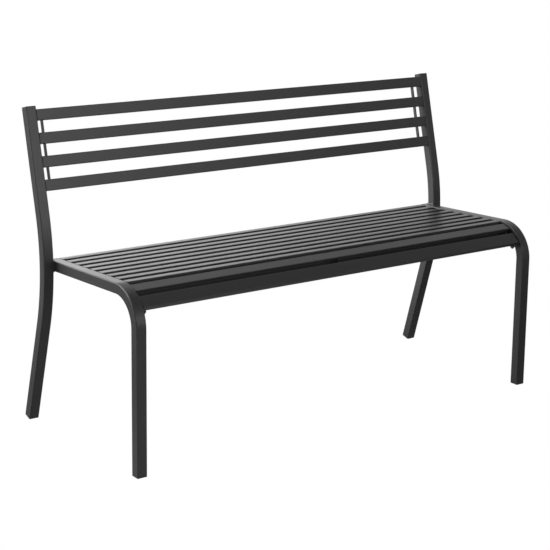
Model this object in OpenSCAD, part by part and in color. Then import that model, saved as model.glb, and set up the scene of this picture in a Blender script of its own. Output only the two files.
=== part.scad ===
// Outdoor bench: two bent square-tube side frames, a slatted seat and a leaning back of level rails.
// Each frame's leg and post stand outside its side tube, welded face to face.
// +Z is up, +X runs along the seat, -Y is the side one sits down from.
// The origin is the bottom centre of the whole bench, on the ground.

/* [Overall size] */
// Width over the outer faces of the posts
overall_w = 1270; // [900:10:1600]
// Height of the back posts with their caps
overall_h = 796; // [760:1:860]
// Height of the top of the seat's side tubes just behind the front bend
seat_h = 440; // [420:5:470]
// Distance from the front legs' front faces to the knee, where post and rear leg lines cross
knee_y = 371.5; // [365:0.5:380]
// Height of the knee above the ground
knee_h = 397; // [390:1:405]

/* [Frame tube] */
// Outside width of the square tube, the same both ways
tube = 26; // [24:1:30]
// Outside corner radius of the square tube
tube_r = 2.5; // [1.5:0.5:4]
// Wall of the square tube
tube_wall = 1.5; // [1:0.25:2.5]
// Centreline radius of the bend from front leg to seat
bend_r = 80; // [76:1:86]
// Fall of the seat to the rear, in degrees
seat_fall = 2.5; // [1.5:0.1:3]
// Lean of the back posts, in degrees from upright
post_lean = 13.8; // [11:0.1:16]
// Rake of the rear legs, in degrees from upright
leg_rake = 16.1; // [13:0.1:18]
// Radius of the posts' front faces in the knee
knee_r = 550; // [400:10:600]
// Amount by which bending draws the tube's section in, all round
draw_in = 0.03; // [0.02:0.01:0.1]
// Gap left for the weld at every joint between two pieces
weld_gap = 0.3; // [0.2:0.05:0.4]

/* [Plastic caps] */
// Thickness of the flange of the four foot caps
foot_cap_t = 3; // [2:0.5:5]
// Thickness of the flange of the post caps and of the caps in the side tubes' rear ends
post_cap_t = 2; // [1.5:0.5:4]
// Length of the plugs inside the tubes
plug_l = 20; // [12:1:30]
// Wall of the plugs
plug_wall = 2; // [1.5:0.25:3]
// Clearance between a plug and the inside of its tube
plug_fit = 0.3; // [0.2:0.05:0.5]

/* [Back] */
// Height of a back rail along the slope of the posts
rail_h = 28; // [20:0.5:32]
// Depth of a back rail, front to rear
rail_t = 14; // [10:0.5:15]
// Outside corner radius of the back rails, which the front apron shares
rail_r = 2; // [1.5:0.25:3]
// Wall of the back rails and of the apron
rail_wall = 1.25; // [1:0.05:1.5]
// Spacing of the back rails along the slope
rail_pitch = 57; // [45:1:60]
// Distance from the top of the posts down to the top of the top rail, along the slope
rail_drop = 8.5; // [4:0.5:15]
// Set-back of the back rails behind the posts' front faces
rail_set = 1; // [0:0.5:1.5]
// Width of the flat bars that tie the rails and the slats, along the bench
bar_w = 4; // [3:0.5:8]
// Depth of the two upright bars behind the rails
upright_t = 9; // [6:0.5:9]
// Distance from the posts' inner faces to the outer side of the upright bars
upright_inset = 18; // [8:1:40]

/* [Seat] */
// Width of a flat seat slat, front to rear
slat_w = 21.5; // [18:0.5:24]
// Thickness of the flat seat slats
slat_t = 10; // [8:0.5:11]
// Outside corner radius of the seat slats and the nose slat
slat_r = 1.5; // [1.25:0.25:2]
// Wall of the seat slats and the nose slat
slat_wall = 1; // [0.8:0.05:1.2]
// Spacing of the flat seat slats
slat_pitch = 38.8; // [38:0.1:39.5]
// Distance from the front legs' front faces to the front edge of the first flat slat
slat_y = 89; // [87:0.5:92]
// Depth of the slat tops below the tops of the side tubes
slat_drop = 1; // [0.5:0.25:2]
// Width of the nose slat along its own slope
nose_w = 27.5; // [22:0.5:28]
// Thickness of the nose slat
nose_t = 8.5; // [6:0.5:9]
// Slope of the nose slat, in degrees below level
nose_tilt = 21; // [18:1:24]
// Distance from the front legs' front faces back to the top edge of the nose slat
nose_y = 77.5; // [75:0.5:78.5]
// Depth of the nose slat's top edge below the tops of the side tubes
nose_drop = 5.2; // [4.2:0.2:6]
// Height of the apron along its own slope
apron_h = 32; // [28:0.5:33]
// Depth of the apron, front to rear
apron_t = 14; // [10:0.5:14.5]
// Slope of the apron's front face, in degrees below level
apron_tilt = 46.5; // [44.5:0.5:49]
// Distance from the front legs' front faces back to the apron's top front edge
apron_y = 39; // [38:0.5:40.5]
// Depth of the apron's top front edge below the tops of the side tubes
apron_drop = 25; // [24:0.5:26.5]
// Depth of the cross tube under the front of the seat, front to rear
cross_w = 20; // [16:1:25]
// Height of the cross tube
cross_h = 30; // [26:1:35]
// Wall of the cross tube
cross_wall = 1.5; // [1:0.25:2]
// Distance from the front legs' front faces to the front face of the cross tube
cross_y = 83; // [82.5:0.5:85]
// Distance from the side tubes' inner faces to the outer side of the outer tie bars
bar_inset = 9; // [8:1:40]
// Height of the tie bars under the slats
seat_bar_h = 10; // [6:0.5:20]
// Height of the brackets on the cross tube's front face
bracket_h = 20; // [10:1:24]
// Length of the nose slat and of the apron that the brackets' front edges leave free at the gap between the two
bracket_cut = 4; // [3:0.5:6]
// Width of the brackets' tips behind the apron
tip_w = 10; // [6:0.5:12]
// Length by which the two outer brackets run past the apron's lower edge
bar_tip = 3; // [1:0.5:6]
// Length by which the middle bracket stops short of the apron's lower edge
bar_short = 9; // [7:0.5:12]
// Distance the tie bars and the side tubes stop short of the rearmost slat's rear edge
bar_back = 2; // [1:0.5:6]

/* [Hidden] */
// Overrun that every cutting solid has past what it cuts
over = 6;
// Length by which the straight tube runs on into a bend, so that the two join in one piece
lap = 0.5;
// Number of flat slats between the nose slat and the rear edge
slats = 9;
corner_fn = 24;
bend_fn = 96;
knee_fn = 300;
paint = "#3b3d3f";
plastic = "#18191a";

// Posts and rear legs outside, side tubes against their inner faces, the seat's pieces between the side tubes
post_x = overall_w / 2 - tube / 2;
side_x = post_x - tube - weld_gap;
back_w = overall_w - 2 * tube;
in_w = 2 * side_x - tube;

// Rear leg and post: the straight lines of their front faces cross at the knee point
knee_t = knee_r * tan((post_lean + leg_rake) / 2);
up_l = (overall_h - knee_h) / cos(post_lean) - knee_t;
down_l = knee_h / cos(leg_rake) - knee_t;
top_y = knee_y + (overall_h - knee_h) * tan(post_lean) + tube * cos(post_lean);
foot_y = knee_y + knee_h * tan(leg_rake) + tube * cos(leg_rake);
depth = max(top_y, foot_y);
front_y = -depth / 2;
arc_y = front_y + knee_y + knee_t * sin(post_lean) + knee_r * cos(post_lean);
arc_z = knee_h + knee_t * cos(post_lean) - knee_r * sin(post_lean);

// Front bend: its outer radius is centred behind the leg's front face
bend_o = bend_r + tube / 2;
bend_z = seat_h - bend_o * cos(seat_fall);
seat_y0 = bend_o * (1 + sin(seat_fall));
bar_y1 = slat_y + (slats - 1) * slat_pitch + slat_w - bar_back;
side_end = bar_y1 - post_cap_t;
side_l = side_end - seat_y0;

// Under the seat: the tie bars and the cross tube touch the slats, the brackets touch the nose slat and the apron
flat_z = -slat_drop - slat_t - weld_gap;
nose_dir = [cos(nose_tilt), sin(nose_tilt)];
nose_in = [sin(nose_tilt), -cos(nose_tilt)];
apron_dir = [cos(apron_tilt), sin(apron_tilt)];
apron_in = [sin(apron_tilt), -cos(apron_tilt)];
nose_back = [nose_y, -nose_drop] + (nose_t + weld_gap) * nose_in;
apron_back = [apron_y, -apron_drop] + (apron_t + weld_gap) * apron_in;
bar_x = in_w / 2 - bar_inset - bar_w / 2;
upright_x = back_w / 2 - upright_inset - bar_w / 2;

// Point where the line through a along da meets the line through b along db
function meet(a, da, b, db) =
  a + da * ((b[0] - a[0]) * db[1] - (b[1] - a[1]) * db[0]) / (da[0] * db[1] - da[1] * db[0]);

// Rectangle from the origin with round corners
module round_rect(w, h, r) {
  translate([r, 0]) square([w - 2 * r, h]);
  translate([0, r]) square([w, h - 2 * r]);
  for (x = [r, w - r], y = [r, h - r]) translate([x, y]) circle(r = r, $fn = corner_fn);
}

// Outside of the square tube, centred on its axis, smaller all round by the given amount
module tube_outside(less = 0) {
  w = tube - 2 * less;
  translate([-w / 2, -w / 2]) round_rect(w, w, tube_r);
}

// Inside of the square tube, smaller all round by the given amount
module tube_inside(less = 0) {
  w = tube - 2 * tube_wall - 2 * less;
  translate([-w / 2, -w / 2]) round_rect(w, w, max(tube_r - tube_wall, 0.5));
}

// Plane of the knee arc: first axis to the front, second axis up, third axis to the left
module knee_plane(x) {
  translate([x, arc_y, arc_z]) rotate([90, 0, -90]) children();
}

// Axis of the tube above the knee and below it, going away from the knee along the third axis
module above_knee() {
  rotate([0, 0, post_lean]) translate([knee_r - tube / 2, 0, 0]) rotate([-90, 0, 0]) children();
}
module below_knee() {
  rotate([0, 0, -leg_rake]) translate([knee_r - tube / 2, 0, 0]) rotate([90, 0, 0]) children();
}

// Path of the rear leg and post: the first shape is swept straight, the second round the knee
module post_path(up, down) {
  above_knee() translate([0, 0, -lap]) linear_extrude(up + lap) children(0);
  rotate([0, 0, -leg_rake]) rotate_extrude(angle = post_lean + leg_rake, $fn = knee_fn)
    translate([knee_r - tube / 2, 0]) children(1);
  below_knee() translate([0, 0, -lap]) linear_extrude(down + lap) children(0);
}

// Seat plane: first axis along the bench, origin over the front legs' front faces, top of the side tubes
module seat_plane() {
  translate([0, front_y + seat_y0, seat_h]) rotate([-seat_fall, 0, 0]) translate([0, -seat_y0, 0])
    children();
}

// Path of the side tube: the first shape is swept straight, the second round the front bend
module side_path(low, long) {
  translate([0, front_y + tube / 2, low]) linear_extrude(bend_z - low + lap) children(0);
  translate([0, front_y + bend_o, bend_z]) rotate([90, 0, -90])
    rotate_extrude(angle = 90 + seat_fall, $fn = bend_fn) translate([bend_r, 0]) children(1);
  seat_plane() translate([0, seat_y0 - lap, -tube / 2]) rotate([-90, 0, 0])
    linear_extrude(long + lap) children(0);
}

// Front leg, bend and side of the seat in one bent tube, which runs along the post's inner face and just past it
module side_tube(side) {
  color(paint) difference() {
    translate([side * side_x, 0, 0]) side_path(foot_cap_t, side_l) {
      tube_outside();
      tube_outside(draw_in);
    }
    translate([side * side_x, 0, 0]) side_path(foot_cap_t - over, side_l + over) {
      tube_inside();
      tube_inside(draw_in);
    }
  }
}

// Rear leg and back post in one tube, gently bent at the knee
module rear_post(side) {
  color(paint) knee_plane(side * post_x) difference() {
    post_path(up_l - post_cap_t, down_l - foot_cap_t) {
      tube_outside();
      tube_outside(draw_in);
    }
    post_path(up_l - post_cap_t + over, down_l - foot_cap_t + over) {
      tube_inside();
      tube_inside(draw_in);
    }
  }
}

// Plastic cap: a flange as wide as the tube and a hollow plug, drawn from the tube's end downwards
module cap(flange_t) {
  color(plastic) {
    translate([0, 0, -flange_t]) linear_extrude(flange_t) tube_outside();
    difference() {
      linear_extrude(plug_l) tube_inside(plug_fit);
      linear_extrude(plug_l + over) tube_inside(plug_fit + plug_wall);
    }
  }
}

module post_cap(side) {
  knee_plane(side * post_x) above_knee() translate([0, 0, up_l - post_cap_t]) mirror([0, 0, 1])
    cap(post_cap_t);
}

module side_cap(side) {
  seat_plane() translate([side * side_x, side_end, -tube / 2]) rotate([90, 0, 0]) cap(post_cap_t);
}

module foot_cap_front(side) {
  translate([side * side_x, front_y + tube / 2, foot_cap_t]) cap(foot_cap_t);
}

module foot_cap_rear(side) {
  knee_plane(side * post_x) below_knee() translate([0, 0, down_l - foot_cap_t]) mirror([0, 0, 1])
    cap(foot_cap_t);
}

// Flat tube drawn along the third axis: section w by h from the origin, centred on its length between two faces
module flat_tube(w, h, r, wall, between) {
  difference() {
    linear_extrude(between - 2 * weld_gap, center = true) round_rect(w, h, r);
    linear_extrude(between + over, center = true) translate([wall, wall])
      round_rect(w - 2 * wall, h - 2 * wall, max(r - wall, 0.5));
  }
}

// The same tube between the side tubes, its section's first side to the rear and its second side up
module cross_tube(w, h, r, wall) {
  rotate([90, 0, 90]) flat_tube(w, h, r, wall, in_w);
}

// Back rail, counted from the top, between the two posts
module back_rail(i) {
  color(paint) knee_plane(0) rotate([0, 0, post_lean])
    translate([knee_r - rail_set - rail_t, up_l - rail_drop - (i - 1) * rail_pitch - rail_h, 0])
    flat_tube(rail_t, rail_h, rail_r, rail_wall, back_w);
}

// Upright flat bar behind the rails, from the top rail to the bottom rail
module back_upright(side) {
  long = 3 * rail_pitch + rail_h - 2 * rail_r;
  color(paint) knee_plane(side * upright_x) rotate([0, 0, post_lean])
    translate([knee_r - rail_set - rail_t - weld_gap - upright_t, up_l - rail_drop - rail_r - long, -bar_w / 2])
    cube([upright_t, long, bar_w]);
}

// Flat seat slat, counted from the front
module seat_slat(i) {
  color(paint) seat_plane() translate([0, slat_y + (i - 1) * slat_pitch, -slat_drop - slat_t])
    cross_tube(slat_w, slat_t, slat_r, slat_wall);
}

// Sloping slat at the front of the seat, following the bend of the side tubes
module seat_nose_slat() {
  color(paint) seat_plane() translate([0, nose_y, -nose_drop]) rotate([nose_tilt, 0, 0])
    translate([0, -nose_w, -nose_t]) cross_tube(nose_w, nose_t, slat_r, slat_wall);
}

// Front apron, the lowest and steepest piece of the seat
module front_apron() {
  color(paint) seat_plane() translate([0, apron_y, -apron_drop]) rotate([apron_tilt, 0, 0])
    translate([0, -apron_h, -apron_t]) cross_tube(apron_h, apron_t, rail_r, rail_wall);
}

// Cross tube behind the gap between the nose slat and the apron, from side tube to side tube
module front_cross_tube() {
  color(paint) seat_plane() translate([0, cross_y, flat_z - cross_h])
    cross_tube(cross_w, cross_h, rail_r, cross_wall);
}

// Flat bar that ties the flat slats from below, from the cross tube to the rearmost slat
module seat_bar(x) {
  y0 = cross_y + cross_w + weld_gap;
  color(paint) seat_plane() translate([x - bar_w / 2, y0, flat_z - seat_bar_h])
    cube([bar_w, bar_y1 - y0, seat_bar_h]);
}

// Flat bracket from the cross tube's front face to the nose slat and down behind the apron, past its lower edge
module seat_bracket(x, past) {
  tip = apron_back - (apron_h + past) * apron_dir;
  top = meet([cross_y - weld_gap, 0], [0, 1], nose_back, nose_dir);
  color(paint) seat_plane() translate([x, 0, 0]) rotate([90, 0, 90])
    linear_extrude(bar_w, center = true) polygon([
      top,
      nose_back - (nose_w - bracket_cut) * nose_dir,
      apron_back - bracket_cut * apron_dir,
      tip,
      tip + tip_w * apron_in,
      top - [0, bracket_h]
    ]);
}

side_tube(-1);  // side_tube_left
side_tube(1);  // side_tube_right
rear_post(-1);  // rear_post_left
rear_post(1);  // rear_post_right
post_cap(-1);  // post_cap_left
post_cap(1);  // post_cap_right
side_cap(-1);  // side_cap_left
side_cap(1);  // side_cap_right
foot_cap_front(-1);  // foot_cap_front_left
foot_cap_front(1);  // foot_cap_front_right
foot_cap_rear(-1);  // foot_cap_rear_left
foot_cap_rear(1);  // foot_cap_rear_right
back_rail(1);  // back_rail_1
back_rail(2);  // back_rail_2
back_rail(3);  // back_rail_3
back_rail(4);  // back_rail_4
back_upright(-1);  // back_upright_left
back_upright(1);  // back_upright_right
seat_slat(1);  // seat_slat_1
seat_slat(2);  // seat_slat_2
seat_slat(3);  // seat_slat_3
seat_slat(4);  // seat_slat_4
seat_slat(5);  // seat_slat_5
seat_slat(6);  // seat_slat_6
seat_slat(7);  // seat_slat_7
seat_slat(8);  // seat_slat_8
seat_slat(9);  // seat_slat_9
seat_nose_slat();
front_apron();
seat_bar(-bar_x);  // seat_bar_left
seat_bar(0);  // seat_bar_middle
seat_bar(bar_x);  // seat_bar_right
front_cross_tube();
seat_bracket(-bar_x, bar_tip);  // seat_bracket_left
seat_bracket(0, -bar_short);  // seat_bracket_middle
seat_bracket(bar_x, bar_tip);  // seat_bracket_right
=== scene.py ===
import math

import bpy
import numpy as np
from mathutils import Matrix, Vector


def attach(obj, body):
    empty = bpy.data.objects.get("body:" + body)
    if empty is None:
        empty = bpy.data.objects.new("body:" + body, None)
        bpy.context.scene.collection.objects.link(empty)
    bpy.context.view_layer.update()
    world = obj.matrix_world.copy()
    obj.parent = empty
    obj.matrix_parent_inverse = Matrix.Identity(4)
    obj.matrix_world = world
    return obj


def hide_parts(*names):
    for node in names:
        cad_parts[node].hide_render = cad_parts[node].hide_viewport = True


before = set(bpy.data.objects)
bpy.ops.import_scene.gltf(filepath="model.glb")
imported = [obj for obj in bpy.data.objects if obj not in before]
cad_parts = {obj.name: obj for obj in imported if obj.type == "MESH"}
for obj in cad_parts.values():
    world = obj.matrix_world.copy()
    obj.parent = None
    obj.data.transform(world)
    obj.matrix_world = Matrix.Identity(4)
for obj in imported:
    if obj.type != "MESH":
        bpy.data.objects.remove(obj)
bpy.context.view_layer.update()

# ---------------------------------------------------------------------------------------------
# Side tubes. Each front leg, its bend and the side of the seat are one square steel tube, bent
# cold and powder coated dark grey. It runs along the post's inner face, is welded there, and
# ends just behind the post.
# ---------------------------------------------------------------------------------------------
WIDTH, HEIGHT = 1.270, 0.796
TUBE = 0.026
TUBE_ROUND = 0.0025
WELD_GAP = 0.0003
END_ROUND = 0.0004
POST_X = WIDTH / 2 - TUBE / 2
SIDE_X = POST_X - TUBE - WELD_GAP
FRONT_Y = -0.255534
FOOT_CAP = 0.003
SEAT_TOP = 0.440
SEAT_FALL = math.radians(2.5)
SEAT_END = 0.4169
BEND_OUTER = 0.080 + TUBE / 2
LEG_STEPS, BEND_STEPS, SEAT_STEPS = 7, 72, 8
BEND_CENTRE = np.array([FRONT_Y + BEND_OUTER, SEAT_TOP - BEND_OUTER * math.cos(SEAT_FALL)])
KNEE_RADIUS = 0.550
POST_LEAN = math.radians(13.8)
LEG_RAKE = math.radians(16.1)
KNEE_HIGH = 0.397
KNEE_POINT = np.array([FRONT_Y + 0.3715, KNEE_HIGH])
KNEE_RUN = KNEE_RADIUS * math.tan((POST_LEAN + LEG_RAKE) / 2)
KNEE_CENTRE = KNEE_POINT + KNEE_RUN * np.array([math.sin(POST_LEAN), math.cos(POST_LEAN)])
KNEE_CENTRE = KNEE_CENTRE + KNEE_RADIUS * np.array([math.cos(POST_LEAN), -math.sin(POST_LEAN)])
COAT_GREY = (0.0180, 0.0180, 0.0180)
COAT_WORN = (0.0290, 0.0290, 0.0290)


class Wire:
    """A shader socket to calculate with: an operator on it adds one Math node to its board."""

    def __init__(self, board, socket):
        self.board, self.socket = board, socket

    def math(self, operation, *values):
        return self.board.add("ShaderNodeMath", {"operation": operation}, dict(enumerate(values)))

    def __add__(self, other):
        return self.math("ADD", self, other)

    def __mul__(self, other):
        return self.math("MULTIPLY", self, other)

    def __sub__(self, other):
        return self.math("SUBTRACT", self, other)

    def __rsub__(self, other):
        return self.math("SUBTRACT", other, self)

    def __pow__(self, other):
        return self.math("POWER", self, other)

    __radd__, __rmul__ = __add__, __mul__


class Board:
    """The nodes of one material or of the world."""

    def __init__(self, tree):
        self.tree = tree
        tree.nodes.clear()

    def add(self, kind, settings, sockets, output=0):
        """Adds a node: its settings first, then each socket's value or wire."""
        made = self.tree.nodes.new(kind)
        for key, value in settings.items():
            setattr(made, key, value)
        for key, value in sockets.items():
            if isinstance(value, Wire):
                self.tree.links.new(value.socket, made.inputs[key])
            else:
                made.inputs[key].default_value = value
        return Wire(self, made.outputs[output]) if made.outputs else None


def noise(board, place, scale, detail=2.0, rough=0.5):
    """Even noise from 0 to 1 round 0.5, with scale patches to the metre."""
    sockets = {"Vector": place, "Scale": scale, "Detail": detail, "Roughness": rough}
    return board.add("ShaderNodeTexNoise", {}, sockets)


def powder_coat(name, grey, worn, gloss, shift):
    """Satin powder coat: cured grains of about half a millimetre, a slow orange peel over them, a little
    cloudiness in colour and gloss, and a thinner, slightly polished film on the corners of the section."""
    material = bpy.data.materials.new(name)
    material.use_nodes = True
    board = Board(material.node_tree)
    place = board.add("ShaderNodeTexCoord", {}, {}, "Object")
    place = board.add("ShaderNodeMapping", {}, {"Vector": place, "Location": shift})
    corner = board.add("ShaderNodeAttribute", {"attribute_name": "corner"}, {}, "Fac")
    grains = noise(board, place, 1900.0, 1.0)
    peel = noise(board, place, 260.0, 1.5)
    cloud = noise(board, place, 9.0, 4.0, 0.6)
    streak = noise(board, place, 70.0, 3.0, 0.65)
    rub = corner * (cloud * 1.1 - 0.15)
    share = board.add("ShaderNodeClamp", {}, {"Value": rub * 0.55 + (cloud - 0.5) * 0.5 + 0.2})
    colour = board.add("ShaderNodeMix", {"data_type": "RGBA"}, {0: share, 6: (*grey, 1), 7: (*worn, 1)}, 2)
    rough = gloss + (cloud - 0.5) * 0.10 + (streak - 0.5) * 0.06 - rub * 0.05
    relief = board.add("ShaderNodeBump", {}, {"Height": grains, "Strength": 0.35, "Distance": 0.00006})
    relief = board.add("ShaderNodeBump", {}, {
        "Height": peel, "Strength": 0.5, "Distance": 0.00012, "Normal": relief,
    })
    skin = board.add("ShaderNodeBsdfPrincipled", {}, {
        "Base Color": colour, "Roughness": rough, "Normal": relief, "IOR": 1.5, "Specular IOR Level": 0.5,
    })
    board.add("ShaderNodeOutputMaterial", {}, {"Surface": skin})
    return material


def round_outline(wide, high, radius, steps=6):
    """Outline of a rectangle with round corners: a corner's point is the corner's centre + radius *
    (cos t, sin t), with t from 0 to a quarter turn in each corner in turn. Gives the points, the outward
    normals (cos t, sin t), and sin 2t, which is 1 in the middle of a corner and 0 on the flats."""
    t = np.linspace(0, np.pi / 2, steps + 1)
    turn = np.arange(4)[:, None] * np.pi / 2 + t[None, :]
    normal = np.stack([np.cos(turn), np.sin(turn)], -1)
    centre = np.array([[1, 1], [-1, 1], [-1, -1], [1, -1]]) * [wide / 2 - radius, high / 2 - radius]
    points = centre[:, None, :] + radius * normal
    return points.reshape(-1, 2), normal.reshape(-1, 2), np.tile(np.sin(2 * t), 4)


def carried(path, across, out, outline, start=0.0, end=0.0, steps=4):
    """Closed skin of an outline carried along a path: point = path + u * across + v * out, with (u, v) on
    the outline. Each end is rounded with its own radius r: at the angle f from 90 degrees to 0 the outline
    is drawn in by r (1 - cos f) along its normals and lies r (1 - sin f) inside the path's end, and its
    normals turn from the path's direction to the outline's normals."""
    section, normal, corner = outline
    along = np.cross(out, across)
    along /= np.linalg.norm(along, axis=1)[:, None]
    rows, normals = [], []

    def ring(at, a, o, tip, inset, lean):
        uv = section - inset * normal
        rows.append(at + uv[:, :1] * a + uv[:, 1:] * o)
        side = normal[:, :1] * a + normal[:, 1:] * o / max(np.linalg.norm(o), 1e-9)
        full = math.cos(lean) * side + math.sin(lean) * tip
        normals.append(full / np.linalg.norm(full, axis=1)[:, None])

    turn = np.linspace(np.pi / 2, 0, steps + 1)
    for f in (turn if start else [0.0]):
        at = path[0] + along[0] * start * (1 - math.sin(f))
        ring(at, across[0], out[0], -along[0], start * (1 - math.cos(f)), f)
    for at, a, o in zip(path[1:-1], across[1:-1], out[1:-1]):
        ring(at, a, o, a, 0.0, 0.0)
    for f in (turn[::-1] if end else [0.0]):
        at = path[-1] - along[-1] * end * (1 - math.sin(f))
        ring(at, across[-1], out[-1], along[-1], end * (1 - math.cos(f)), f)
    return np.array(rows), np.array(normals), np.tile(corner, len(rows))


def skin_mesh(name, skins):
    """One mesh of closed skins: row after row of points joined by four-sided faces, and a flat face over
    each end."""
    points, normals, corners, faces, first = [], [], [], [], 0
    for rows, row_normals, corner in skins:
        n, m = rows.shape[:2]
        i, j = np.meshgrid(np.arange(n - 1), np.arange(m), indexing="ij")
        a, b = first + i * m + j, first + i * m + (j + 1) % m
        faces += np.stack([a, a + m, b + m, b], -1).reshape(-1, 4).tolist()
        faces += [list(range(first, first + m)), list(range(first + n * m - 1, first + (n - 1) * m - 1, -1))]
        points.append(rows.reshape(-1, 3))
        normals.append(row_normals.reshape(-1, 3))
        corners.append(corner)
        first += n * m
    mesh = bpy.data.meshes.new(name)
    mesh.from_pydata(np.concatenate(points).tolist(), [], faces)
    mesh.polygons.foreach_set("use_smooth", np.ones(len(mesh.polygons), bool))
    corner = mesh.attributes.new("corner", "FLOAT", "POINT")
    corner.data.foreach_set("value", np.concatenate(corners).astype(np.float32))
    mesh.normals_split_custom_set_from_vertices(np.concatenate(normals).tolist())
    return mesh


def fit(name, skins, material, slot, *nodes):
    """Makes a piece of its skins, which rides on the bench and stands for the solids that it is named with."""
    piece = bpy.data.objects.new(name, skin_mesh(name, skins))
    bpy.context.scene.collection.objects.link(piece)
    piece.data.materials.append(material)
    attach(piece, "root")
    if nodes:
        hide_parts(*nodes)
    return piece


def at_x(x, yz):
    """Points across the bench at x, from their places to the rear and up."""
    yz = np.atleast_2d(yz)
    return np.column_stack([np.full(len(yz), x), yz])


def turned(centre, radius, angles):
    """Points on an arc, centre + radius * (-cos a, sin a), to the rear and up, and the outward direction
    at each."""
    out = np.column_stack([-np.cos(angles), np.sin(angles)])
    return centre + radius * out, out


FRAME_COAT = powder_coat("frame_powder_coat", COAT_GREY, COAT_WORN, 0.36, (0, 0, 0))
TUBE_OUTLINE = round_outline(TUBE, TUBE, TUBE_ROUND)

bend, bend_out = turned(BEND_CENTRE, BEND_OUTER - TUBE / 2, np.linspace(0, np.pi / 2 + SEAT_FALL, BEND_STEPS + 1))
leg = np.linspace([bend[0, 0], FOOT_CAP], bend[0], LEG_STEPS + 1)[:-1]
fall = np.array([math.cos(SEAT_FALL), -math.sin(SEAT_FALL)])
rise = np.array([math.sin(SEAT_FALL), math.cos(SEAT_FALL)])
SEAT_Y0 = BEND_OUTER * (1 + math.sin(SEAT_FALL))
seat = bend[-1] + np.linspace(0, SEAT_END - SEAT_Y0, SEAT_STEPS + 1)[1:, None] * fall
side_path = np.concatenate([leg, bend, seat])
side_out = np.concatenate([np.tile([-1.0, 0.0], (len(leg), 1)), bend_out, np.tile(rise, (len(seat), 1))])
for side, x in (("left", -SIDE_X), ("right", SIDE_X)):
    skin = carried(
        at_x(x, side_path), np.tile([1.0, 0, 0], (len(side_path), 1)), at_x(0, side_out),
        TUBE_OUTLINE, END_ROUND, END_ROUND,
    )
    fit(f"side_tube_{side}_coated", [skin], FRAME_COAT, "frame_paint", f"side_tube_{side}")

# ---------------------------------------------------------------------------------------------
# Rear posts. Rear leg and back post are one square tube with a wide, gentle bend at the knee,
# bent cold and coated with the side tubes, which are welded to their inner faces.
# ---------------------------------------------------------------------------------------------
POST_CAP = 0.002
UP_LENGTH = (HEIGHT - KNEE_HIGH) / math.cos(POST_LEAN) - KNEE_RUN
DOWN_LENGTH = KNEE_HIGH / math.cos(LEG_RAKE) - KNEE_RUN
POST_STEPS, KNEE_STEPS = 5, 60

up_way = np.array([math.sin(POST_LEAN), math.cos(POST_LEAN)])
down_way = np.array([math.sin(LEG_RAKE), -math.cos(LEG_RAKE)])
knee, knee_out = turned(KNEE_CENTRE, KNEE_RADIUS - TUBE / 2, np.linspace(-LEG_RAKE, POST_LEAN, KNEE_STEPS + 1))
lower = knee[0] + np.linspace(DOWN_LENGTH - FOOT_CAP, 0, POST_STEPS + 1)[:-1, None] * down_way
upper = knee[-1] + np.linspace(0, UP_LENGTH - POST_CAP, POST_STEPS + 1)[1:, None] * up_way
post_path = np.concatenate([lower, knee, upper])
post_out = np.concatenate([np.tile(knee_out[0], (POST_STEPS, 1)), knee_out, np.tile(knee_out[-1], (POST_STEPS, 1))])
for side, x in (("left", -POST_X), ("right", POST_X)):
    skin = carried(
        at_x(x, post_path), np.tile([1.0, 0, 0], (len(post_path), 1)), at_x(0, post_out),
        TUBE_OUTLINE, END_ROUND, END_ROUND,
    )
    fit(f"rear_post_{side}_coated", [skin], FRAME_COAT, "frame_paint", f"rear_post_{side}")

# ---------------------------------------------------------------------------------------------
# Caps. Moulded black plastic, pushed into the open ends of the tubes: a flange as wide as the
# tube with a softly rounded rim, over a plug with four thin ribs that grip the bore.
# ---------------------------------------------------------------------------------------------
PLASTIC_BLACK = (0.010, 0.010, 0.010)
PLASTIC_SCUFFED = (0.030, 0.030, 0.030)
PLUG = TUBE - 0.0036
PLUG_LENGTH = 0.020
PLUG_WALL, PLUG_ROUND = 0.0012, 0.001
RIB = TUBE - 0.0032
RIB_THICK = 0.001
RIB_PLACES = (0.003, 0.007, 0.011, 0.015)


def cap_plastic(name):
    """Matt moulded plastic: spark-eroded grain in the gloss and relief, and pale scuffs in the hollows of a cloud."""
    material = bpy.data.materials.new(name)
    material.use_nodes = True
    board = Board(material.node_tree)
    place = board.add("ShaderNodeTexCoord", {}, {}, "Object")
    grain = noise(board, place, 2600.0, 2.0)
    scuff = noise(board, place, 160.0, 5.0, 0.7)
    share = board.add("ShaderNodeClamp", {}, {"Value": (scuff - 0.52) * 2.5})
    colour = board.add(
        "ShaderNodeMix", {"data_type": "RGBA"}, {0: share, 6: (*PLASTIC_BLACK, 1), 7: (*PLASTIC_SCUFFED, 1)}, 2
    )
    relief = board.add("ShaderNodeBump", {}, {"Height": grain, "Strength": 0.4, "Distance": 0.00005})
    skin = board.add("ShaderNodeBsdfPrincipled", {}, {
        "Base Color": colour, "Roughness": 0.55 + (scuff - 0.5) * 0.3, "Normal": relief,
    })
    board.add("ShaderNodeOutputMaterial", {}, {"Surface": skin})
    return material


def cap_skins(x, face, way, out, thick):
    """A cap's flange, plug and ribs: straight pieces of outline from face along way, which points out of
    the tube."""
    across = np.tile([math.copysign(1.0, out[1] * way[0] - out[0] * way[1]), 0, 0], (2, 1))
    outs = at_x(0, np.tile(out, (2, 1)))

    def piece(low, high, width, radius, start, end):
        path = at_x(x, np.array([face + low * way, face + high * way]))
        return carried(path, across, outs, round_outline(width, width, radius), start, end)

    skins = [piece(0.0, thick, TUBE, TUBE_ROUND, 0.0003, 0.0009)]
    skins.append(piece(-PLUG_LENGTH, 0.0, PLUG - 2 * PLUG_WALL, PLUG_ROUND, 0.0006, 0.0))
    skins += [piece(-k - RIB_THICK, -k, RIB, PLUG_ROUND, 0.0002, 0.0002) for k in RIB_PLACES]
    return skins


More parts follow.
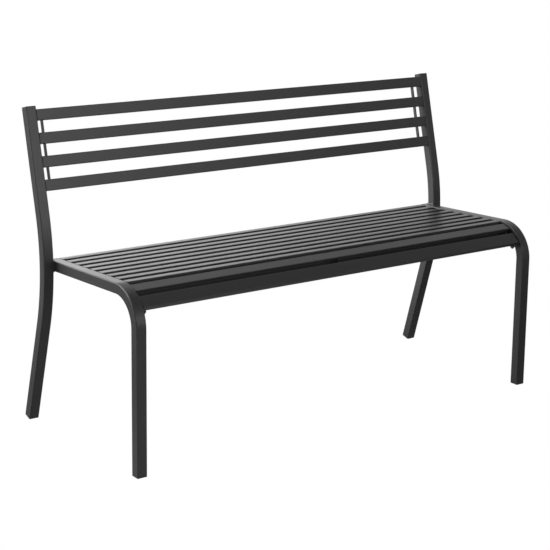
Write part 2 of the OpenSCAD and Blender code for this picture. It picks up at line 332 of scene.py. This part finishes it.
CAP_PLASTIC = cap_plastic("cap_moulded_plastic")
for side, sign in (("left", -1), ("right", 1)):
    for name, x, face, way, out, thick in (
        (f"post_cap_{side}", sign * POST_X, post_path[-1], up_way, knee_out[-1], POST_CAP),
        (f"side_cap_{side}", sign * SIDE_X, side_path[-1], fall, rise, POST_CAP),
        (f"foot_cap_rear_{side}", sign * POST_X, post_path[0], down_way, knee_out[0], FOOT_CAP),
        (f"foot_cap_front_{side}", sign * SIDE_X, side_path[0], np.array([0.0, -1.0]), side_out[0], FOOT_CAP),
    ):
        fit(f"{name}_moulded", cap_skins(x, face, way, out, thick), CAP_PLASTIC, "cap_plastic", name)

# ---------------------------------------------------------------------------------------------
# Back rails. Four flat rectangular tubes between the posts, each end cut square and welded to
# the post's inner face, just behind the post's front.
# ---------------------------------------------------------------------------------------------
RAIL_HIGH, RAIL_DEEP, RAIL_ROUND = 0.028, 0.014, 0.002
RAIL_PITCH, RAIL_DROP, RAIL_SET = 0.057, 0.0085, 0.001
BACK_SPAN = POST_X - TUBE / 2
SPAN = SIDE_X - TUBE / 2
SEAM = 0.0026
SLAT_GREY = (0.0180, 0.0180, 0.0180)

SLAT_COAT = powder_coat("slat_powder_coat", SLAT_GREY, COAT_WORN, 0.37, (3.1, 1.7, 0.9))
back_out = knee_out[-1]


def on_back(front, up):
    """A place on the leaning back: so far from the knee's centre to the front and along the posts."""
    return KNEE_CENTRE + front * back_out + up * up_way


def crossing(centre, out, wide, high, radius, seam=WELD_GAP, reach=SPAN):
    """A straight tube across the bench, short of its reach to both sides by the seam: its outline's high
    way is out, and its wide way is square to that."""
    path = np.array([[x * (reach - seam), *centre] for x in (-1, -1 / 3, 1 / 3, 1)])
    across = np.array([0.0, -out[1], out[0]])
    return carried(
        path, np.tile(across, (4, 1)), np.tile([0.0, *out], (4, 1)),
        round_outline(wide, high, radius), END_ROUND, END_ROUND,
    )


rail_up = [UP_LENGTH - RAIL_DROP - k * RAIL_PITCH - RAIL_HIGH / 2 for k in range(4)]
for k, up in enumerate(rail_up, 1):
    centre = on_back(KNEE_RADIUS - RAIL_SET - RAIL_DEEP / 2, up)
    skin = crossing(centre, back_out, RAIL_HIGH, RAIL_DEEP, RAIL_ROUND, reach=BACK_SPAN)
    fit(f"back_rail_{k}_coated", [skin], SLAT_COAT, "slat_paint", f"back_rail_{k}")

# ---------------------------------------------------------------------------------------------
# Upright bars. One flat steel bar near each end ties the four rails together from behind, with
# a short weld on each rail, and is coated with them.
# ---------------------------------------------------------------------------------------------
BAR_WIDE, UPRIGHT_DEEP = 0.004, 0.009
UPRIGHT_X = BACK_SPAN - 0.018 - BAR_WIDE / 2
BAR_ROUND = 0.0005

upright_front = KNEE_RADIUS - RAIL_SET - RAIL_DEEP - WELD_GAP - UPRIGHT_DEEP / 2
upright_ends = (rail_up[3] - RAIL_HIGH / 2 + RAIL_ROUND, rail_up[0] + RAIL_HIGH / 2 - RAIL_ROUND)
for side, x in (("left", -UPRIGHT_X), ("right", UPRIGHT_X)):
    path = at_x(x, np.array([on_back(upright_front, up) for up in np.linspace(*upright_ends, 5)]))
    skin = carried(
        path, np.tile([1.0, 0, 0], (5, 1)), at_x(0, np.tile(back_out, (5, 1))),
        round_outline(BAR_WIDE, UPRIGHT_DEEP, BAR_ROUND), BAR_ROUND, BAR_ROUND,
    )
    fit(f"back_upright_{side}_coated", [skin], SLAT_COAT, "slat_paint", f"back_upright_{side}")

# ---------------------------------------------------------------------------------------------
# Seat slats. Nine flat rectangular tubes, cut square and welded from below between the side
# tubes, with their tops a millimetre under the tops of the side tubes.
# ---------------------------------------------------------------------------------------------
SLAT_WIDE, SLAT_THICK, SLAT_ROUND = 0.0215, 0.010, 0.0015
SLAT_PITCH, SLAT_Y, SLAT_DROP = 0.0388, 0.089, 0.001


def on_seat(back, up):
    """A place on the seat: so far behind the front legs' front faces along the seat, and up from the side
    tubes' tops."""
    return np.array([FRONT_Y + SEAT_Y0, SEAT_TOP]) + (back - SEAT_Y0) * fall + up * rise


for k in range(9):
    centre = on_seat(SLAT_Y + k * SLAT_PITCH + SLAT_WIDE / 2, -SLAT_DROP - SLAT_THICK / 2)
    skin = crossing(centre, rise, SLAT_WIDE, SLAT_THICK, SLAT_ROUND, SEAM)
    fit(f"seat_slat_{k + 1}_coated", [skin], SLAT_COAT, "slat_paint", f"seat_slat_{k + 1}")

# ---------------------------------------------------------------------------------------------
# Nose slat and apron. Two more tubes that follow the side tubes' bend: a sloping slat where the
# knees bend, and a deeper, steeper one below it that closes the seat's front.
# ---------------------------------------------------------------------------------------------
NOSE_WIDE, NOSE_THICK, NOSE_TILT = 0.0275, 0.0085, math.radians(21)
NOSE_AT = (0.0775, -0.0052)
APRON_HIGH, APRON_DEEP, APRON_TILT = 0.032, 0.014, math.radians(46.5)
APRON_AT = (0.039, -0.025)


def sloping(at, tilt, wide, deep, radius):
    """A tube whose top rear edge is at a place on the seat and which falls to the front by tilt."""
    ahead = np.array([math.cos(tilt), math.sin(tilt)])
    face = np.array([-math.sin(tilt), math.cos(tilt)])
    middle = np.array(at) - wide / 2 * ahead - deep / 2 * face
    out = face[0] * fall + face[1] * rise
    return crossing(on_seat(*middle), out, wide, deep, radius, SEAM)


nose = sloping(NOSE_AT, NOSE_TILT, NOSE_WIDE, NOSE_THICK, SLAT_ROUND)
fit("seat_nose_slat_coated", [nose], SLAT_COAT, "slat_paint", "seat_nose_slat")
apron = sloping(APRON_AT, APRON_TILT, APRON_HIGH, APRON_DEEP, RAIL_ROUND)
fit("front_apron_coated", [apron], SLAT_COAT, "slat_paint", "front_apron")

# ---------------------------------------------------------------------------------------------
# Cross tube. One stiff rectangular tube runs from side tube to side tube behind the dark gap
# between the nose slat and the apron, welded at both ends.
# ---------------------------------------------------------------------------------------------
CROSS_DEEP, CROSS_HIGH, CROSS_Y = 0.020, 0.030, 0.083
UNDER_SLATS = -SLAT_DROP - SLAT_THICK - WELD_GAP

centre = on_seat(CROSS_Y + CROSS_DEEP / 2, UNDER_SLATS - CROSS_HIGH / 2)
cross = crossing(centre, rise, CROSS_DEEP, CROSS_HIGH, RAIL_ROUND)
fit("front_cross_tube_coated", [cross], SLAT_COAT, "slat_paint", "front_cross_tube")

# ---------------------------------------------------------------------------------------------
# Tie bars. Three flat bars stand on edge under the slats, from the cross tube to the rearmost
# slat, with a short weld on each slat.
# ---------------------------------------------------------------------------------------------
SEAT_BAR_HIGH, BAR_BACK = 0.010, 0.002
BAR_X = SPAN - 0.009 - BAR_WIDE / 2

bar_ends = (CROSS_Y + CROSS_DEEP + WELD_GAP, SLAT_Y + 8 * SLAT_PITCH + SLAT_WIDE - BAR_BACK)
bar_line = np.array([on_seat(y, UNDER_SLATS - SEAT_BAR_HIGH / 2) for y in np.linspace(*bar_ends, 5)])
for name, x in (("left", -BAR_X), ("middle", 0.0), ("right", BAR_X)):
    skin = carried(
        at_x(x, bar_line), np.tile([1.0, 0, 0], (5, 1)), at_x(0, np.tile(rise, (5, 1))),
        round_outline(BAR_WIDE, SEAT_BAR_HIGH, BAR_ROUND), BAR_ROUND, BAR_ROUND,
    )
    fit(f"seat_bar_{name}_coated", [skin], SLAT_COAT, "slat_paint", f"seat_bar_{name}")

# ---------------------------------------------------------------------------------------------
# Brackets. Three plates in line with the tie bars hold the nose slat and the apron to the cross
# tube, and their tips show as small dark points below the apron.
# ---------------------------------------------------------------------------------------------
BRACKET_HIGH, BRACKET_CUT, BRACKET_ROUND = 0.020, 0.004, 0.0012
TIP_WIDE, TIP_PAST, TIP_SHORT = 0.010, 0.003, 0.009


def meet(a, way_a, b, way_b):
    """Where the line through a along way_a crosses the line through b along way_b."""
    cross = way_a[0] * way_b[1] - way_a[1] * way_b[0]
    return a + way_a * ((b[0] - a[0]) * way_b[1] - (b[1] - a[1]) * way_b[0]) / cross


def round_polygon(points, radius, steps=5):
    """Outline of an anticlockwise polygon with round corners: each corner's centre is the corner less
    radius (n + m) / (1 + n . m), with n and m the normals of its two sides, and its arc turns from n to m.
    A corner that bends inwards stays sharp."""
    points = np.array(points)
    sides = np.roll(points, -1, 0) - points
    m = np.column_stack([sides[:, 1], -sides[:, 0]]) / np.linalg.norm(sides, axis=1)[:, None]
    n = np.roll(m, 1, 0)
    start = np.arctan2(n[:, 1], n[:, 0])
    sweep = np.mod(np.arctan2(m[:, 1], m[:, 0]) - start + np.pi, 2 * np.pi) - np.pi
    radius = np.where(sweep > 0, radius, 0.0)[:, None]
    centre = points - radius * (n + m) / (1 + (n * m).sum(1))[:, None]
    share = np.linspace(0, 1, steps + 1)
    turn = start[:, None] + sweep[:, None] * share
    normal = np.stack([np.cos(turn), np.sin(turn)], -1)
    outline = centre[:, None, :] + radius[:, None] * normal
    return outline.reshape(-1, 2), normal.reshape(-1, 2), np.tile(np.sin(np.pi * share), len(points))


nose_way = np.array([math.cos(NOSE_TILT), math.sin(NOSE_TILT)])
nose_in = np.array([math.sin(NOSE_TILT), -math.cos(NOSE_TILT)])
apron_way = np.array([math.cos(APRON_TILT), math.sin(APRON_TILT)])
apron_in = np.array([math.sin(APRON_TILT), -math.cos(APRON_TILT)])
under_nose = np.array(NOSE_AT) + (NOSE_THICK + WELD_GAP) * nose_in
under_apron = np.array(APRON_AT) + (APRON_DEEP + WELD_GAP) * apron_in
top = meet(np.array([CROSS_Y - WELD_GAP, 0]), np.array([0, 1.0]), under_nose, nose_way)
for name, x, past, cut in (("left", -BAR_X, TIP_PAST, BRACKET_CUT), ("middle", 0.0, -TIP_SHORT, 2 * BRACKET_CUT),
                           ("right", BAR_X, TIP_PAST, BRACKET_CUT)):
    cuts = [under_nose - (NOSE_WIDE - cut) * nose_way, under_apron - cut * apron_way]
    tip = under_apron - (APRON_HIGH + past) * apron_way
    plate = np.array([on_seat(*p) for p in (top, *cuts, tip, tip + TIP_WIDE * apron_in, top - [0, BRACKET_HIGH])])
    plate_outline = round_polygon(plate[::-1] * [-1, 1], BRACKET_ROUND)
    path = np.array([[x - BAR_WIDE / 2, 0, 0], [x + BAR_WIDE / 2, 0, 0]])
    skin = carried(
        path, np.tile([0, -1.0, 0], (2, 1)), np.tile([0, 0, 1.0], (2, 1)), plate_outline, BAR_ROUND, BAR_ROUND
    )
    fit(f"seat_bracket_{name}_coated", [skin], SLAT_COAT, "slat_paint", f"seat_bracket_{name}")

# ---------------------------------------------------------------------------------------------
# Welds. Painted-over beads close the joints: round each side tube's patch on its post, where the
# front one shows, and out of sight behind the rails, under the slats and beside the bars.
# ---------------------------------------------------------------------------------------------
BEAD_SIDES = 10
SLAT_BEAD, RAIL_BEAD, BAR_BEAD, JOINT_BEAD = 0.0019, 0.0021, 0.0013, 0.0029
JOINT_PITCH, JOINT_INSET, JOINT_STEPS = 0.0026, 0.0004, 12


def bead(path, across, out, radius, pitch, closed=False):
    """Weld bead: centre + r (cos t across + sin t out), where r = radius (1 + 0.09 cos(turn along the
    pitch + cos t)) and falls to nothing at open ends as the square root of the distance from them."""
    length = np.concatenate([[0.0], np.cumsum(np.linalg.norm(np.diff(path, axis=0), axis=1))])
    t = np.arange(BEAD_SIDES) * 2 * np.pi / BEAD_SIDES
    ripple = 1 + 0.09 * np.cos(2 * np.pi * length[:, None] / pitch + np.cos(t)[None, :])
    ends = np.ones(len(path)) if closed else np.sqrt(np.clip(
        np.minimum(length, length[-1] - length) / (2 * radius) + 0.03, 0, 1))
    r = radius * ripple * ends[:, None]
    normal = np.cos(t)[None, :, None] * across[:, None, :] + np.sin(t)[None, :, None] * out[:, None, :]
    return path[:, None, :] + r[..., None] * normal, normal, np.full(len(path) * BEAD_SIDES, 0.3)


def straight_bead(start, stop, out, radius, pitch=0.0022):
    """A bead from start to stop with its cap towards out."""
    start, stop = np.array(start, float), np.array(stop, float)
    count = max(8, int(np.linalg.norm(stop - start) / pitch * 4))
    path = start + np.linspace(0, 1, count)[:, None] * (stop - start)
    way = (stop - start) / np.linalg.norm(stop - start)
    out = np.array(out, float) / np.linalg.norm(out)
    across = np.cross(way, out)
    return bead(path, np.tile(across, (count, 1)), np.tile(out, (count, 1)), radius, pitch)


seat_beads, back_beads, bar_beads = [], [], []
for sign in (-1, 1):
    for k in range(9):
        mid, low = SLAT_Y + k * SLAT_PITCH + SLAT_WIDE / 2, -SLAT_DROP - SLAT_THICK
        ends = [[sign * SPAN, *on_seat(mid + way * 0.007, low)] for way in (-1, 1)]
        seat_beads.append(straight_bead(*ends, [-sign, 0, -1], SLAT_BEAD))
    for up in rail_up:
        ends = [[sign * BACK_SPAN, *on_back(KNEE_RADIUS - RAIL_SET - RAIL_DEEP, up + way * 0.011)] for way in (-1, 1)]
        back_beads.append(straight_bead(*ends, [-sign, -back_out[0], -back_out[1]], RAIL_BEAD))
        ends = [[sign * (UPRIGHT_X - BAR_WIDE / 2), *on_back(KNEE_RADIUS - RAIL_SET - RAIL_DEEP, up + way * 0.006)]
                for way in (-1, 1)]
        back_beads.append(straight_bead(*ends, [-sign, -back_out[0], -back_out[1]], BAR_BEAD))
for x in (-BAR_X, 0.0, BAR_X):
    inner = -1 if x > 0 else 1
    for k in range(1, 9):
        mid, low = SLAT_Y + k * SLAT_PITCH + SLAT_WIDE / 2, -SLAT_DROP - SLAT_THICK
        ends = [[x + inner * BAR_WIDE / 2, *on_seat(mid + way * 0.006, low)] for way in (-1, 1)]
        bar_beads.append(straight_bead(*ends, [inner, 0, -1], BAR_BEAD))
fit("seat_slat_welds", seat_beads, SLAT_COAT, "slat_paint")
fit("back_rail_welds", back_beads, SLAT_COAT, "slat_paint")
fit("seat_bar_welds", bar_beads, SLAT_COAT, "slat_paint")

ring_points = round_outline(TUBE - JOINT_INSET, TUBE - JOINT_INSET, TUBE_ROUND, 5)[0]
sides = zip(ring_points, np.roll(ring_points, -1, 0))
ring_points = np.concatenate([
    a + (b - a) * np.linspace(0, 1, JOINT_STEPS if np.linalg.norm(b - a) > 0.01 else 1, endpoint=False)[:, None]
    for a, b in sides
])
ring_points = np.concatenate([ring_points, ring_points[:1]])
# Across the post and up the tube: |place + s * fall - knee centre| = the radius at that depth of the post
patch = on_seat(SEAT_END, -TUBE / 2) + ring_points[:, 1:] * rise - KNEE_CENTRE
reach = patch @ fall
depth = (KNEE_RADIUS - TUBE / 2 + ring_points[:, 0]) ** 2
patch += (KNEE_CENTRE - (reach + np.sqrt(reach**2 - (patch**2).sum(1) + depth))[:, None] * fall)
for side, x in (("left", -BACK_SPAN), ("right", BACK_SPAN)):
    around = at_x(x, patch)
    way = np.gradient(around, axis=0)
    way /= np.linalg.norm(way, axis=1)[:, None]
    level = np.tile([math.copysign(1.0, x), 0.0, 0.0], (len(around), 1))
    ring = bead(around, np.cross(way, level), level, JOINT_BEAD, JOINT_PITCH, closed=True)
    fit(f"side_joint_weld_{side}", [ring], FRAME_COAT, "frame_paint")

# ---------------------------------------------------------------------------------------------
# Studio: a white floor and backdrop. The coat mirrors glows on the backdrop, most of them behind the
# bench, and pools of light on the floor, with darkness between them, which gives the photo's sheen.
# ---------------------------------------------------------------------------------------------
# Azimuth and height in degrees, power (higher is narrower) and strength
GLOWS = (
    (0, 12, 20, 1.516),
    (120, 4, 20, 2.600),
    (140, 12, 20, 11.193),
    (280, 12, 30, 6.527),
    (300, 45, 8, 0.309),
    (44, 7, 100, 0.160),
    (45, 12, 30, 0.160),
    (45, 40, 10, 0.768),
    (55, 6, 100, 0.148),
    (57, 12, 60, 0.501),
    (66, 7, 100, 1.606),
    (70, 12, 30, 0.809),
    (90, 35, 10, 2.374),
    (0, 90, 4, 0.085),
)
# Place x and y, width and strength
POOLS = (
    (-0.9, -1.3, 0.7, 0.782),
    (2.6, -2.4, 1.2, 0.237),
    (0.2, 2.0, 0.8, 2.067),
    (-2.8, 3.2, 1.4, 0.109),
    (0, 0, 0.5, 0.015),
    (-0.6, 0.0, 0.25, 0.124),
)
EVEN_SKY, EVEN_FLOOR = 0.011, 0.065
FLOOR_HALF = 60
LIT_CENTRE = Vector((0, 0, 0.45))

floor_mesh = bpy.data.meshes.new("floor")
floor_corners = [(x * FLOOR_HALF, y * FLOOR_HALF, 0) for x, y in ((-1, -1), (1, -1), (1, 1), (-1, 1))]
floor_mesh.from_pydata(floor_corners, [], [(0, 1, 2, 3)])
floor = bpy.data.objects.new("floor", floor_mesh)
bpy.context.scene.collection.objects.link(floor)
white = bpy.data.materials.new("studio_white")
white.use_nodes = True
board = Board(white.node_tree)
# Pools of light on the floor: strength * exp(-distance^2 / (2 width^2)) round each place
place = board.add("ShaderNodeTexCoord", {}, {}, "Object")
light = EVEN_FLOOR
for x, y, wide, strength in POOLS:
    away = board.add("ShaderNodeVectorMath", {"operation": "DISTANCE"}, {0: place, 1: (x, y, 0.0)}, "Value")
    light = light + away.math("EXPONENT", away * away * (-0.5 / wide**2)) * strength
seen = board.add("ShaderNodeLightPath", {}, {}, "Is Camera Ray")
pattern = board.add("ShaderNodeCombineColor", {}, {0: light, 1: light, 2: light})
shade = board.add("ShaderNodeMix", {"data_type": "RGBA"}, {0: seen, 6: pattern, 7: (1, 1, 1, 1)}, 2)
glow = board.add("ShaderNodeEmission", {}, {"Color": shade, "Strength": 1.0})
board.add("ShaderNodeOutputMaterial", {}, {"Surface": glow})
floor.data.materials.append(white)

world = bpy.data.worlds.new("studio")
bpy.context.scene.world = world
world.use_nodes = True
board = Board(world.node_tree)
# Glows on the backdrop: strength * (cosine of the angle from each direction)^power
way = board.add("ShaderNodeTexCoord", {}, {}, "Generated")
light = EVEN_SKY
for azimuth, height, power, strength in GLOWS:
    a, h = math.radians(azimuth), math.radians(height)
    toward = (math.cos(h) * math.cos(a), math.cos(h) * math.sin(a), math.sin(h))
    near = board.add("ShaderNodeVectorMath", {"operation": "DOT_PRODUCT"}, {0: way, 1: toward}, "Value")
    light = light + near.math("MAXIMUM", near, 0.0) ** power * strength
seen = board.add("ShaderNodeLightPath", {}, {}, "Is Camera Ray")
air = board.add("ShaderNodeBackground", {}, {"Color": (1, 1, 1, 1), "Strength": seen * 1.0 + light * (1.0 - seen)})
board.add("ShaderNodeOutputWorld", {}, {"Surface": air})

for name, at, size, radiance in (
    ("panel_rear", (1.1, 3.0, 1.0), (2.2, 1.2), 0.134),
    ("panel_top_left", (-1.6, 0.2, 2.6), (1.6, 1.6), 5.559),
):
    panel = bpy.data.lights.new(name, "AREA")
    panel.shape, panel.size, panel.size_y = "RECTANGLE", *size
    panel.energy = radiance * math.pi * size[0] * size[1]
    lamp = bpy.data.objects.new(name, panel)
    bpy.context.scene.collection.objects.link(lamp)
    lamp.location = at
    lamp.rotation_euler = (LIT_CENTRE - Vector(at)).to_track_quat("-Z", "Y").to_euler()

# ---------------------------------------------------------------------------------------------
# Camera: a short telephoto from the front left, above the back's height, with the lens shifted as
# far as the photo's framing needs.
# ---------------------------------------------------------------------------------------------
CAMERA_AT = (-2.28168, -3.09444, 1.34949)
YAW, PITCH, ROLL = math.radians(35.793), math.radians(11.991), math.radians(0.772)
LENS, SENSOR, SHIFT_Y = 100.60, 36.0, -0.13636
ahead = np.array([math.sin(YAW) * math.cos(PITCH), math.cos(YAW) * math.cos(PITCH), -math.sin(PITCH)])
level = np.array([math.cos(YAW), -math.sin(YAW), 0.0])
above = np.cross(level, ahead)
right = level * math.cos(ROLL) + above * math.sin(ROLL)
up = above * math.cos(ROLL) - level * math.sin(ROLL)
lens = bpy.data.cameras.new("camera")
lens.lens, lens.sensor_width, lens.shift_y = LENS, SENSOR, SHIFT_Y
camera = bpy.data.objects.new("camera", lens)
bpy.context.scene.collection.objects.link(camera)
camera.matrix_world = Matrix([
    [right[0], up[0], -ahead[0], CAMERA_AT[0]],
    [right[1], up[1], -ahead[1], CAMERA_AT[1]],
    [right[2], up[2], -ahead[2], CAMERA_AT[2]],
    [0, 0, 0, 1],
])
bpy.context.scene.camera = camera
bpy.context.scene.view_settings.view_transform = "Standard"
